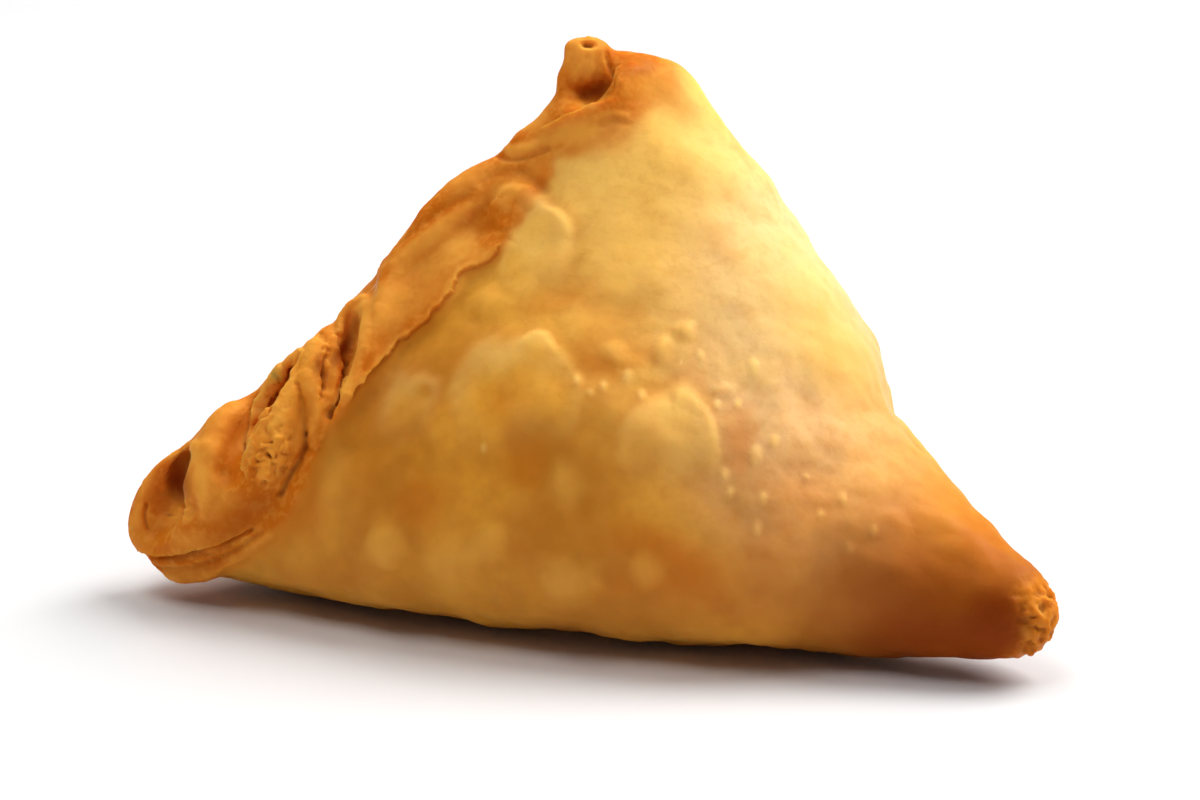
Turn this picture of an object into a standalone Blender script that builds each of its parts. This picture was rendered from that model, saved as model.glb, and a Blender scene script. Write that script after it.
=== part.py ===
"""A fried samosa, lying on one broad side with its pleated seam at the left.

Metres, +Z up. The closed point of the cone of dough is at +X, the broad side
that shows faces -Y, and the pleated seam climbs from the low corner at -X to
the peak. The whole pastry is one solid.
"""

import math
from collections import namedtuple

import bmesh
import bpy
from mathutils import Matrix, Vector

MM = 0.001

# Balls whose common hull is the filled body: place (x, y, z) and radius, in mm
BODY_BALLS = {
    "peak": (0.0, 8.0, 54.0, 6.2),
    "upper right edge": (7.4, 6.0, 42.5, 9.2),
    "right shoulder": (15.0, 1.0, 23.8, 15.6),
    "left corner": (-42.0, -12.0, 8.0, 6.5),
    "upper left edge": (-17.0, 5.0, 39.0, 5.5),
    "left side": (-24.0, 3.0, 16.5, 13.5),
    "under left": (-23.0, -5.0, 8.5, 9.6),
    "under right": (23.0, -4.0, 9.0, 10.1),
    "front edge left": (-30.7, -14.5, 8.5, 7.4),
    "front edge middle left": (-16.4, -15.0, 10.0, 9.0),
    "front edge middle": (4.2, -15.5, 10.5, 9.4),
    "front edge right": (24.0, -13.0, 10.6, 9.8),
    "belly": (1.0, -4.0, 18.8, 19.8),
    "upper belly": (2.0, 2.0, 34.0, 14.0),
    "back left": (-15.0, 17.0, 11.5, 12.4),
    "back": (2.0, 21.0, 12.5, 13.3),
    "back right": (14.5, 14.0, 12.2, 13.2),
    "back high": (1.0, 12.0, 30.0, 12.0),
}
# Hulls joined to the eased body where it stays tight: the peak, and the closed
# point of the cone, which narrows in two steps
PEAK_BALLS = {
    "peak left": (-2.1, 8.0, 55.2, 4.7),
    "peak right": (2.1, 8.0, 54.7, 4.9),
    "below the peak": (5.5, 6.5, 45.0, 7.6),
}
NECK_BALLS = {
    "inside the belly": (15.0, -4.5, 17.0, 15.0),
    "root": (25.0, -3.5, 15.0, 11.2),
    "root, low": (25.0, -11.0, 9.5, 9.2),
    "middle": (35.2, -7.0, 11.6, 7.9),
    "middle, low": (37.0, -11.0, 8.2, 7.2),
}
POINT_BALLS = {
    "middle": (35.2, -7.0, 11.6, 7.9),
    "middle, low": (37.0, -11.0, 8.2, 7.2),
    "knuckle": (41.5, -9.0, 9.2, 6.7),
    "knuckle, low": (43.5, -11.5, 7.2, 5.8),
    "tip": (48.7, -12.0, 7.2, 4.4),
}

# The seam's straight line, from its foot at the low corner to its head
SEAM_FOOT = Vector((-47.5, -14.0, 5.1)) * MM
SEAM_HEAD = Vector((-3.3, 5.0, 57.3)) * MM
SEAM_FRONT = Vector((0.238, -0.960, 0.148))

# The dough of the seam as round strands, each a short chain of knots. A knot is
# its place along the seam, outward from it and to the front of it, and its
# radius, all in mm. Each pleat starts as a fold at the outer edge, crosses the
# seam towards the foot and lies over the pleat below it.
STRANDS = {
    "core": (
        (0.5, -0.5, 0.5, 3.4),
        (12.0, -0.5, 1.0, 4.2),
        (24.0, -1.0, 2.0, 4.0),
        (38.0, -1.0, 1.5, 3.2),
        (64.0, -2.0, 1.0, 2.4),
    ),
    "ear": (
        (-1.0, 0.6, 3.2, 1.6),
        (0.6, 3.7, 2.4, 1.5),
        (5.2, 5.2, 2.6, 1.4),
        (12.8, 4.2, 4.4, 1.4),
    ),
    "foot of the ear": (
        (-1.4, 1.6, 0.8, 2.4),
        (5.0, 3.2, -0.5, 3.1),
        (12.0, 3.0, 0.0, 3.0),
    ),
    "dome": (
        (20.5, 2.4, 3.0, 1.4),
        (15.7, 2.8, 4.7, 3.1),
        (10.0, -0.2, 7.3, 3.5),
        (4.6, -2.2, 6.4, 2.7),
        (-1.0, -0.4, 3.6, 1.7),
    ),
    "rim": (
        (17.5, 2.6, 3.2, 1.3),
        (24.0, 3.0, 4.4, 1.2),
        (27.5, 2.6, 5.5, 1.2),
    ),
    "ridge": (
        (29.0, 2.3, 5.8, 1.3),
        (22.7, 0.2, 8.8, 2.1),
        (16.7, -2.3, 9.7, 3.0),
        (11.0, -3.7, 8.7, 2.8),
        (4.5, -3.4, 6.8, 2.1),
    ),
    "fold": (
        (31.4, 2.6, 4.4, 1.4),
        (28.4, -0.2, 7.8, 2.2),
        (24.2, -3.0, 9.8, 2.0),
        (18.3, -5.2, 10.6, 1.4),
        (11.0, -5.6, 9.0, 1.0),
    ),
    "small ear": (
        (36.4, 1.4, 4.6, 1.4),
        (33.8, 1.6, 4.2, 1.5),
        (31.9, 0.6, 4.6, 1.1),
    ),
    "edge of the flap": (
        (41.0, 0.4, 3.4, 2.0),
        (35.3, -0.9, 7.4, 1.5),
        (29.2, -4.1, 10.6, 1.3),
        (19.0, -7.1, 11.8, 1.2),
        (10.8, -8.2, 10.0, 1.3),
        (2.1, -5.2, 5.2, 1.5),
        (-0.8, -2.0, 3.0, 1.6),
    ),
    "roll": (
        (36.0, 0.2, 3.0, 1.9),
        (43.0, 0.4, 2.6, 2.5),
        (51.0, 1.0, 1.8, 2.7),
        (57.0, -0.2, 1.4, 2.5),
    ),
    "upper roll": (
        (56.0, -1.4, 2.6, 2.2),
        (60.0, 0.2, 1.6, 2.3),
        (67.0, -0.4, 0.8, 2.0),
    ),
    "horn": (
        (64.0, -0.8, 0.4, 1.8),
        (69.2, 1.4, 0.2, 2.1),
        (71.6, 2.6, 0.0, 2.0),
        (73.3, 3.5, 0.0, 0.6),
    ),
    "lip of the peak": (
        (59.5, 0.2, 1.6, 0.8),
        (65.2, -0.4, 3.6, 1.0),
        (69.3, -2.9, 4.8, 1.0),
        (72.2, -2.6, 3.6, 1.1),
        (74.6, -2.4, 1.2, 1.3),
    ),
    "shoulder of the peak": (
        (71.8, 1.0, -1.0, 1.6),
        (75.2, -3.2, -1.0, 1.6),
    ),
}

# The thin sheet folded over from the seam onto the broad side: its outline,
# along and outward in mm. It is full to the first place along the seam, grows
# thinner from there and ends at the second.
FLAP_OUTLINE = (
    (24.0, -4.8),
    (27.0, -5.2),
    (30.0, -5.2),
    (36.0, -4.5),
    (39.0, -4.6),
    (41.5, -5.0),
    (43.5, -5.0),
    (45.5, -4.5),
    (47.5, -4.5),
    (50.5, -5.5),
    (52.5, -5.0),
    (57.0, -3.5),
    (58.0, 7.0),
    (40.0, 7.0),
    (38.5, 1.5),
    (32.4, -2.8),
)
FLAP_THICKNESS = 0.9 * MM
FLAP_FULL = 47.0
FLAP_END = 59.0

# Hollows between the pleats, as ellipsoids: centre along, outward and to the
# front, half length, half width and half height, all in mm, and the lean from
# the seam in degrees
Hollow = namedtuple("Hollow", "along outward front length width height lean")
HOLLOWS = {
    "foot hollow": Hollow(7.0, 3.1, 5.5, 4.8, 1.7, 3.9, 12),
    "middle hollow": Hollow(22.4, 1.9, 6.8, 4.4, 0.9, 3.9, 6),
    "upper hollow": Hollow(31.2, -1.4, 9.8, 4.6, 0.8, 4.6, 34),
    "peak hollow": Hollow(69.2, -0.5, 4.6, 3.2, 1.6, 4.6, -36),
}
# Creases where one fold ends against the next, as thin strands cut out
CREASES = {
    "under the rope": (
        (-1.1, 0.7, 5.2, 0.6),
        (5.5, -5.4, 9.5, 0.8),
        (12.0, -6.9, 11.6, 0.8),
        (22.5, -4.9, 12.2, 0.5),
    ),
    "beside the ridge": (
        (27.0, 0.3, 9.4, 0.3),
        (22.0, -2.7, 11.4, 0.6),
        (16.6, -4.9, 12.6, 0.4),
    ),
    "above the roll": (
        (57.5, 2.8, 2.4, 0.6),
        (58.9, 0.4, 4.0, 0.6),
        (62.4, -1.6, 4.6, 0.4),
    ),
    "behind the lip": (
        (62.8, 2.0, 2.4, 0.5),
        (65.4, 0.8, 3.8, 0.7),
        (67.6, -0.6, 5.0, 0.9),
    ),
}

BALL_SUBDIVISIONS = 4
BODY_VOXEL = 1.5 * MM
BODY_EASING = 36
JOINED_VOXEL = 1.1 * MM
JOINED_EASING = 6
LUMP_WIDTH = 11 * MM
LUMP_HEIGHT = 1.3 * MM
ROPE_VOXEL = 0.7 * MM
ROPE_EASING = 3
SKIN_VOXEL = 0.65 * MM
SKIN_EASING = 1
SKIN_TRIANGLES = 10500


def clear_scene():
    for item in list(bpy.data.objects):
        bpy.data.objects.remove(item, do_unlink=True)


def collection_named(name):
    made = bpy.data.collections.new(name)
    bpy.context.scene.collection.children.link(made)
    return made


def object_from(bm, name, collection):
    """A mesh object made from a bmesh, which is freed."""
    mesh = bpy.data.meshes.new(name)
    bm.to_mesh(mesh)
    bm.free()
    made = bpy.data.objects.new(name, mesh)
    collection.objects.link(made)
    return made


def apply_modifiers(target):
    """Every modifier of the object taken into its mesh."""
    graph = bpy.context.evaluated_depsgraph_get()
    mesh = bpy.data.meshes.new_from_object(target.evaluated_get(graph))
    old = target.data
    target.modifiers.clear()
    target.data = mesh
    bpy.data.meshes.remove(old)


def boolean(target, tools, operation):
    """Joins the tools to the target, or cuts with them, then removes them."""
    in_use = collection_named("tools in use")
    for tool in tools:
        for holder in list(tool.users_collection):
            holder.objects.unlink(tool)
        in_use.objects.link(tool)
    change = target.modifiers.new(operation.title(), "BOOLEAN")
    change.operation = operation
    change.operand_type = "COLLECTION"
    change.collection = in_use
    change.solver = "MANIFOLD"
    apply_modifiers(target)
    for tool in tools:
        bpy.data.objects.remove(tool, do_unlink=True)
    bpy.data.collections.remove(in_use)


def even_out(target, voxel, repeats):
    """An even new skin over the object, with its creases eased."""
    skin = target.modifiers.new("Even skin", "REMESH")
    skin.mode = "VOXEL"
    skin.voxel_size = voxel
    ease = target.modifiers.new("Ease", "SMOOTH")
    ease.factor = 0.5
    ease.iterations = repeats
    apply_modifiers(target)


def hull_of_balls(name, balls, collection):
    """One closed skin stretched round balls of dough."""
    bm = bmesh.new()
    for x, y, z, radius in balls.values():
        place = Matrix.Translation(Vector((x, y, z)) * MM)
        bmesh.ops.create_icosphere(
            bm, subdivisions=BALL_SUBDIVISIONS, radius=radius * MM, matrix=place
        )
    bmesh.ops.delete(bm, geom=bm.edges[:], context="EDGES_FACES")
    hull = bmesh.ops.convex_hull(bm, input=bm.verts)
    inner = [item for item in hull["geom_interior"] if isinstance(item, bmesh.types.BMVert)]
    bmesh.ops.delete(bm, geom=inner, context="VERTS")
    bmesh.ops.recalc_face_normals(bm, faces=bm.faces)
    return object_from(bm, name, collection)


def add_lumps(target):
    """Low uneven swellings, where the dough blew up as it fried."""
    pattern = bpy.data.textures.new("lumps", "CLOUDS")
    pattern.noise_scale = LUMP_WIDTH
    pattern.noise_depth = 1
    lumps = target.modifiers.new("Lumps", "DISPLACE")
    lumps.texture = pattern
    lumps.texture_coords = "LOCAL"
    lumps.strength = LUMP_HEIGHT
    lumps.mid_level = 0.5
    apply_modifiers(target)


def make_body(collection):
    """The filled cone of dough without its seam."""
    body = hull_of_balls("samosa", BODY_BALLS, collection)
    even_out(body, BODY_VOXEL, BODY_EASING)
    tight_ends = {"peak": PEAK_BALLS, "neck": NECK_BALLS, "point": POINT_BALLS}
    ends = [hull_of_balls(name, balls, collection) for name, balls in tight_ends.items()]
    boolean(body, ends, "UNION")
    even_out(body, JOINED_VOXEL, JOINED_EASING)
    add_lumps(body)
    return body


def seam_axes():
    """The seam's own axes: along it, outward from the body, and to the front."""
    along = (SEAM_HEAD - SEAM_FOOT).normalized()
    front = (SEAM_FRONT - along * SEAM_FRONT.dot(along)).normalized()
    return along, front.cross(along), front


def seam_point(along_mm, outward_mm, front_mm):
    along, outward, front = seam_axes()
    return SEAM_FOOT + (along * along_mm + outward * outward_mm + front * front_mm) * MM


def strand(name, knots, collection):
    """A round bar of dough through the knots, as a closed mesh."""
    curve = bpy.data.curves.new(name, "CURVE")
    curve.dimensions = "3D"
    curve.resolution_u = 12
    curve.bevel_depth = 1.0
    curve.bevel_resolution = 4
    curve.use_fill_caps = True
    spline = curve.splines.new("BEZIER")
    spline.bezier_points.add(len(knots) - 1)
    for bezier_point, (along, outward, front, radius) in zip(spline.bezier_points, knots):
        bezier_point.co = seam_point(along, outward, front)
        bezier_point.radius = radius * MM
        bezier_point.handle_left_type = "AUTO"
        bezier_point.handle_right_type = "AUTO"
    guide = bpy.data.objects.new(name + " guide", curve)
    collection.objects.link(guide)
    graph = bpy.context.evaluated_depsgraph_get()
    mesh = bpy.data.meshes.new_from_object(guide.evaluated_get(graph))
    bpy.data.objects.remove(guide, do_unlink=True)
    bm = bmesh.new()
    bm.from_mesh(mesh)
    bmesh.ops.remove_doubles(bm, verts=bm.verts, dist=1e-6)
    bmesh.ops.recalc_face_normals(bm, faces=bm.faces)
    return object_from(bm, name, collection)


def ellipsoid(name, hollow, collection):
    """The ellipsoid of one hollow at its place in the seam."""
    bm = bmesh.new()
    bmesh.ops.create_icosphere(bm, subdivisions=BALL_SUBDIVISIONS, radius=1.0)
    place = Matrix.Translation(seam_point(hollow.along, hollow.outward, hollow.front))
    axes = Matrix(seam_axes()).transposed().to_4x4()
    lean = Matrix.Rotation(math.radians(hollow.lean), 4, "Z")
    size = Matrix.Diagonal((hollow.length * MM, hollow.width * MM, hollow.height * MM, 1.0))
    bmesh.ops.transform(bm, matrix=place @ axes @ lean @ size, verts=bm.verts)
    bmesh.ops.recalc_face_normals(bm, faces=bm.faces)
    return object_from(bm, name, collection)


def add_rope(body, collection):
    """The rope of pleats, its strands eased into one another."""
    strands = [strand(name, knots, collection) for name, knots in STRANDS.items()]
    boolean(body, strands, "UNION")
    even_out(body, ROPE_VOXEL, ROPE_EASING)


def outline_prism(name, outline, near, far, collection):
    """A prism through an outline, from near to far to the front, in mm."""
    bm = bmesh.new()
    ring = [bm.verts.new(seam_point(along, outward, near)) for along, outward in outline]
    pushed = bmesh.ops.extrude_face_region(bm, geom=[bm.faces.new(ring)])
    moved = [item for item in pushed["geom"] if isinstance(item, bmesh.types.BMVert)]
    front = seam_axes()[2]
    bmesh.ops.translate(bm, verts=moved, vec=front * (far - near) * MM)
    bmesh.ops.triangulate(bm, faces=bm.faces)
    bmesh.ops.recalc_face_normals(bm, faces=bm.faces)
    return object_from(bm, name, collection)


def thickness_group(sheet):
    """A vertex group that holds the flap's share of its full thickness."""
    along = seam_axes()[0]
    group = sheet.vertex_groups.new(name="thickness")
    for vertex in sheet.data.vertices:
        reach = (vertex.co - SEAM_FOOT).dot(along) / MM
        share = (FLAP_END - reach) / (FLAP_END - FLAP_FULL)
        group.add([vertex.index], min(max(share, 0.0), 1.0), "REPLACE")
    return group.name


def add_flap(body, collection):
    """The body's own skin thickened where the folded sheet lies on it."""
    sheet = bpy.data.objects.new("flap", body.data.copy())
    collection.objects.link(sheet)
    swell = sheet.modifiers.new("Thickness", "DISPLACE")
    swell.vertex_group = thickness_group(sheet)
    swell.strength = FLAP_THICKNESS
    swell.mid_level = 0.0
    apply_modifiers(sheet)
    outline = outline_prism("outline", FLAP_OUTLINE, -2.0, 20.0, collection)
    boolean(sheet, [outline], "INTERSECT")
    boolean(body, [sheet], "UNION")


def cut_hollows(body, collection):
    cuts = [ellipsoid(name, hollow, collection) for name, hollow in HOLLOWS.items()]
    cuts += [strand(name, knots, collection) for name, knots in CREASES.items()]
    boolean(body, cuts, "DIFFERENCE")


def thin_out(target):
    """Fewer triangles, kept close where the dough curves most."""
    less = target.modifiers.new("Fewer triangles", "DECIMATE")
    less.ratio = SKIN_TRIANGLES / (2 * len(target.data.polygons))
    apply_modifiers(target)


def flatten_foot(target):
    """The flat spot that the pastry rests on, at z = 0."""
    bm = bmesh.new()
    bm.from_mesh(target.data)
    cut = bmesh.ops.bisect_plane(
        bm,
        geom=bm.verts[:] + bm.edges[:] + bm.faces[:],
        dist=1e-7,
        plane_co=(0.0, 0.0, 0.0),
        plane_no=(0.0, 0.0, 1.0),
        clear_inner=True,
    )
    rim = [item for item in cut["geom_cut"] if isinstance(item, bmesh.types.BMEdge)]
    bmesh.ops.contextual_create(bm, geom=rim)
    bmesh.ops.triangulate(bm, faces=bm.faces)
    bmesh.ops.recalc_face_normals(bm, faces=bm.faces)
    bm.to_mesh(target.data)
    bm.free()


def centre_on_origin(target):
    """Brings the middle of the pastry's box over the origin, in x and y."""
    xs = [vertex.co.x for vertex in target.data.vertices]
    ys = [vertex.co.y for vertex in target.data.vertices]
    middle = Vector(((min(xs) + max(xs)) / 2, (min(ys) + max(ys)) / 2, 0.0))
    target.data.transform(Matrix.Translation(-middle))


def crust_material():
    """Fried dough: golden, dull with a thin film of oil."""
    material = bpy.data.materials.new("fried crust")
    material.use_nodes = True
    shader = material.node_tree.nodes["Principled BSDF"]
    shader.inputs["Base Color"].default_value = (0.62, 0.31, 0.08, 1.0)
    shader.inputs["Roughness"].default_value = 0.5
    shader.inputs["Metallic"].default_value = 0.0
    return material


def main():
    clear_scene()
    pastry = collection_named("samosa")
    body = make_body(pastry)
    add_rope(body, pastry)
    add_flap(body, pastry)
    cut_hollows(body, pastry)
    even_out(body, SKIN_VOXEL, SKIN_EASING)
    thin_out(body)
    flatten_foot(body)
    centre_on_origin(body)
    body.data.materials.clear()
    body.data.materials.append(crust_material())
    body.data.shade_smooth()


main()
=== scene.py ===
# %% [markdown]
# # A fried samosa
#
# A samosa is a cone of wheat dough, filled, folded shut and fried. This one
# lies on a broad side. The lesson takes the plain solid of the pastry, shapes
# its fine folds and blisters as a sculptor would, and then builds the colours
# of fried dough from noise and a few painted masks, some of which are painted
# light and shade.
#
# Everything is in metres, with Z up. The camera looks at the broad side, which
# faces -Y, and the pleated seam climbs from the left corner to the peak.

import math
from collections import namedtuple

import bpy
import numpy as np
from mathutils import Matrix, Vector, noise
from mathutils.bvhtree import BVHTree


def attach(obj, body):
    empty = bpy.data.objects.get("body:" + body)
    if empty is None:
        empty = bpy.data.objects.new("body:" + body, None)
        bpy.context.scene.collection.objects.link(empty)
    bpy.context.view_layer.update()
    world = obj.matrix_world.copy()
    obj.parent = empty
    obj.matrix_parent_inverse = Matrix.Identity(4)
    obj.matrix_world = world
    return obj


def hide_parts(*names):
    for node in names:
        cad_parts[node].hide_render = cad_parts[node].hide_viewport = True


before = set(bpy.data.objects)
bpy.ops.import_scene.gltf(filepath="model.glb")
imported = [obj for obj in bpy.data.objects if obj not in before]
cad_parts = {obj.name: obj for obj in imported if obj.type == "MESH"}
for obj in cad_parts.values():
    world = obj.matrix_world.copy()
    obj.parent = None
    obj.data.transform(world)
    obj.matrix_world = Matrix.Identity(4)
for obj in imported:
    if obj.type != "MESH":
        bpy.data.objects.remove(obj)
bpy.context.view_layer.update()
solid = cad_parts["samosa"]
MM = 0.001

# %% [markdown]
# ## The camera
#
# The picture was taken from a little above and a little to the right of the
# broad side, with a long lens, so that near and far parts keep their sizes.
# A camera can be aimed by hand or by a Track To constraint. Here its place is
# worked out from two angles and a distance, because the same numbers then also
# tell where any point of the crust lands in the picture.

# %% Place the camera
PICTURE_WIDTH = 1200
AIM = Vector((-0.8, -9.5, 23.8)) * MM
AIM_ACROSS = 597
AIM_DOWN = 400
CAMERA_TURN = math.radians(20)
CAMERA_RISE = math.radians(15)
CAMERA_DISTANCE = 450 * MM
PIXEL_SIZE = 0.1075 * MM

toward_camera = Vector(
    (
        math.sin(CAMERA_TURN) * math.cos(CAMERA_RISE),
        -math.cos(CAMERA_TURN) * math.cos(CAMERA_RISE),
        math.sin(CAMERA_RISE),
    )
)
camera_place = AIM + toward_camera * CAMERA_DISTANCE
camera_turn = (-toward_camera).to_track_quat("-Z", "Y").to_euler()
bpy.ops.object.camera_add(location=camera_place, rotation=camera_turn)
camera = bpy.context.object
camera.name = "camera"
camera.data.sensor_width = 36
camera.data.lens = 36 * CAMERA_DISTANCE / (PICTURE_WIDTH * PIXEL_SIZE)
camera.data.shift_x = (PICTURE_WIDTH / 2 - AIM_ACROSS) / PICTURE_WIDTH
camera.data.clip_start = 0.01
bpy.context.scene.camera = camera
print("lens in mm:", round(camera.data.lens, 1))

# %% [markdown]
# ## A finer crust
#
# The solid is made of a few thousand flat triangles. A real crust bends
# everywhere, so it needs a denser mesh before it can be shaped. A Subdivision
# Surface would follow the uneven triangles. A Remesh modifier instead wraps the
# form in an even net of small squares, which is what sculptors start from. The
# net is eased a little so that the old facets vanish.

# %% Copy the solid and wrap it in an even net
NET_SIZE = 0.50 * MM
NET_EASING = 3


def select_only(piece):
    bpy.ops.object.select_all(action="DESELECT")
    piece.select_set(True)
    bpy.context.view_layer.objects.active = piece


def apply_all(piece):
    """Applies every modifier of the piece, from the first to the last."""
    select_only(piece)
    for modifier in list(piece.modifiers):
        bpy.ops.object.modifier_apply(modifier=modifier.name)


crust = bpy.data.objects.new("crust", solid.data.copy())
bpy.context.scene.collection.objects.link(crust)
select_only(crust)
bpy.ops.object.mode_set(mode="EDIT")
bpy.ops.mesh.select_all(action="SELECT")
bpy.ops.mesh.remove_doubles(threshold=1e-6)
bpy.ops.object.mode_set(mode="OBJECT")

net = crust.modifiers.new("Even net", "REMESH")
net.mode = "VOXEL"
net.voxel_size = NET_SIZE
ease = crust.modifiers.new("Ease", "SMOOTH")
ease.factor = 0.5
ease.iterations = NET_EASING
apply_all(crust)
print("faces in the net:", len(crust.data.polygons))

# %% [markdown]
# The seam has folds less than a millimetre wide, and the blisters of the broad
# side have rims just as thin. Those parts get a denser net: their faces are
# selected by place, and one Subdivide doubles the net there. The visible side of
# the seam is doubled once more, for its torn edges. The underside and the back
# stay as they are, since their bumps are larger.

# %% Refine the seam, the peak, the tip and the broad side
SEAM_FOOT = Vector((-48.3, -18.5, 5.1)) * MM
SEAM_HEAD = Vector((-4.1, 0.5, 57.3)) * MM
SEAM_FRONT = Vector((0.238, -0.960, 0.148))
TIP_START = 45 * MM


def unit(vector):
    return np.array(vector.normalized())


def read_points(piece):
    values = np.empty(len(piece.data.vertices) * 3)
    piece.data.vertices.foreach_get("co", values)
    return values.reshape(-1, 3)


def read_normals(piece):
    values = np.empty(len(piece.data.vertices) * 3)
    piece.data.vertices.foreach_get("normal", values)
    return values.reshape(-1, 3)


def write_points(piece, points):
    piece.data.vertices.foreach_set("co", points.ravel())
    piece.data.update()


def face_values(piece, kind):
    values = np.empty(len(piece.data.polygons) * 3)
    piece.data.polygons.foreach_get(kind, values)
    return values.reshape(-1, 3)


seam_along = unit(SEAM_HEAD - SEAM_FOOT)
seam_front = np.array(SEAM_FRONT) - seam_along * (np.array(SEAM_FRONT) @ seam_along)
seam_front = seam_front / np.linalg.norm(seam_front)
seam_outward = np.cross(seam_front, seam_along)


def seam_places(points):
    """Along the seam, outward from it and to the front of it, in mm."""
    from_foot = (points - np.array(SEAM_FOOT)) / MM
    axes = np.stack([seam_along, seam_outward, seam_front], axis=1)
    return from_foot @ axes


def fine_part(points, normals):
    along, outward, front = seam_places(points).T
    in_rope = (along > -6) & (along < 62) & (outward > -9) & (front > -6)
    at_peak = (along >= 62) & (outward > -5)
    at_tip = points[:, 0] > TIP_START
    on_broad_side = normals @ np.array(toward_camera) > 0.1
    return in_rope | at_peak | at_tip | on_broad_side


def finest_part(points, normals):
    along, outward, front = seam_places(points).T
    return (along > -6) & (outward > -7) & (front > -5) & (normals @ np.array(toward_camera) > 0.1)


def refine(piece, part):
    """Doubles the net in one part of the piece."""
    chosen = part(face_values(piece, "center"), face_values(piece, "normal"))
    select_only(piece)
    bpy.ops.object.mode_set(mode="EDIT")
    bpy.ops.mesh.select_mode(type="FACE")
    bpy.ops.mesh.select_all(action="DESELECT")
    bpy.ops.object.mode_set(mode="OBJECT")
    piece.data.polygons.foreach_set("select", chosen)
    bpy.ops.object.mode_set(mode="EDIT")
    bpy.ops.mesh.subdivide(number_cuts=1, smoothness=0.0)
    bpy.ops.object.mode_set(mode="OBJECT")
    print("faces refined:", int(chosen.sum()), "faces now:", len(piece.data.polygons))


refine(crust, fine_part)
refine(crust, finest_part)

# %% [markdown]
# ## Sculpting through the camera
#
# A sculptor draws creases with a brush, looking at the work from one side. The
# strokes below do the same in code. Each one is a short path in the picture,
# given in its pixels, with a reach in pixels and a height in millimetres: a
# height above zero raises a bead, below zero it presses a groove. Only what the
# camera sees is touched, and the push follows the crust's own direction.
#
# First come the helpers: where each point lands in the picture, whether it is
# in sight, and how to spread a value evenly over the net. The places are made
# to wander by a pixel or two, so that no stroke looks ruled, and by more where
# the dough is torn. The noise behind this is seeded, or else it would change
# with every run.

# %% Helpers for the strokes
HIDDEN_BEHIND = 1.2 * MM

camera_right = np.array((math.cos(CAMERA_TURN), math.sin(CAMERA_TURN), 0.0))
camera_back = np.array(toward_camera)
camera_up = np.cross(camera_back, camera_right)


def picture_places(points):
    """Where the points land in the picture: pixels across and down."""
    rays = points - np.array(camera_place)
    depth = -(rays @ camera_back)
    scale = CAMERA_DISTANCE / PIXEL_SIZE
    across = AIM_ACROSS + scale * (rays @ camera_right) / depth
    down = AIM_DOWN - scale * (rays @ camera_up) / depth
    return np.stack([across, down], axis=1)


def in_sight(piece, points, normals):
    """1 where the camera sees the crust squarely, 0 where it is turned away or hidden."""
    graph = bpy.context.evaluated_depsgraph_get()
    skin = BVHTree.FromObject(piece, graph)
    facing = np.clip((normals @ camera_back) * 3, 0, 1)
    for index in np.nonzero(facing)[0]:
        point = Vector(points[index])
        hit = skin.ray_cast(camera_place, point - camera_place)[0]
        if hit is not None and (hit - point).length > HIDDEN_BEHIND:
            facing[index] = 0
    return facing


def net_edges(piece):
    ends = np.empty(len(piece.data.edges) * 2, dtype=np.int64)
    piece.data.edges.foreach_get("vertices", ends)
    return ends.reshape(-1, 2)


def spread(values, edges, repeats):
    """Evens out one value per vertex, or one row, with its neighbours."""
    values = np.array(values, dtype=float)
    rows = values.reshape(len(values), -1)
    count = np.bincount(edges.ravel(), minlength=len(rows))[:, None]
    for _ in range(repeats):
        total = np.zeros_like(rows)
        for column in range(rows.shape[1]):
            for near, far in (edges.T, edges.T[::-1]):
                total[:, column] += np.bincount(near, rows[far, column], len(rows))
        rows = (rows + total / count) / 2
    return rows.reshape(values.shape)


def smooth_path(corners, steps=5):
    """A curve through the corners of a path, as many short straight pieces."""
    corners = np.array(corners, dtype=float)
    padded = np.vstack([2 * corners[0] - corners[1], corners, 2 * corners[-1] - corners[-2]])
    curve = []
    for before, start, end, after in zip(padded, padded[1:], padded[2:], padded[3:]):
        for share in np.arange(steps) / steps:
            bend = (2 * before - 5 * start + 4 * end - after) * share**2
            twist = (3 * start - before - 3 * end + after) * share**3
            curve.append(start + ((end - before) * share + bend + twist) / 2)
    curve.append(corners[-1])
    return np.array(curve)


def distance_to_path(places, path, reach):
    """How far each place is from a path, in pixels, and 1 left of it or -1 right of it.

    Left and right are those of a walker along the path, seen in the picture.
    """
    curve = smooth_path(path)
    low, high = curve.min(axis=0) - reach, curve.max(axis=0) + reach
    close = np.nonzero(np.all((places > low) & (places < high), axis=1))[0]
    nearest = np.full(len(places), np.inf)
    side = np.zeros(len(places))
    for start, end in zip(curve, curve[1:]):
        run = end - start
        from_start = places[close] - start
        share = np.clip(from_start @ run / max(run @ run, 1e-9), 0, 1)
        gap = np.linalg.norm(from_start - share[:, None] * run, axis=1)
        nearer = gap < nearest[close]
        nearest[close[nearer]] = gap[nearer]
        turn = run[1] * from_start[nearer, 0] - run[0] * from_start[nearer, 1]
        side[close[nearer]] = np.sign(turn)
    return nearest, side


NOISE_SEED = 18
noise.seed_set(NOISE_SEED)


def wander(points, size):
    """A random push across and down for each point, changing over the given size in mm."""
    pushes = [noise.noise_vector(Vector(point) / (size * MM))[:2] for point in points]
    return np.array(pushes)


points = read_points(crust)
normals = read_normals(crust)
edges = net_edges(crust)
sight = in_sight(crust, points, normals)
true_places = picture_places(points)
places = true_places + 2.0 * wander(points, 4) + 0.6 * wander(points, 1.2)
torn_places = true_places + 2.0 * wander(points, 3) + 2.6 * wander(points, 0.9)
print("points in sight:", int((sight > 0).sum()), "of", len(points))

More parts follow.
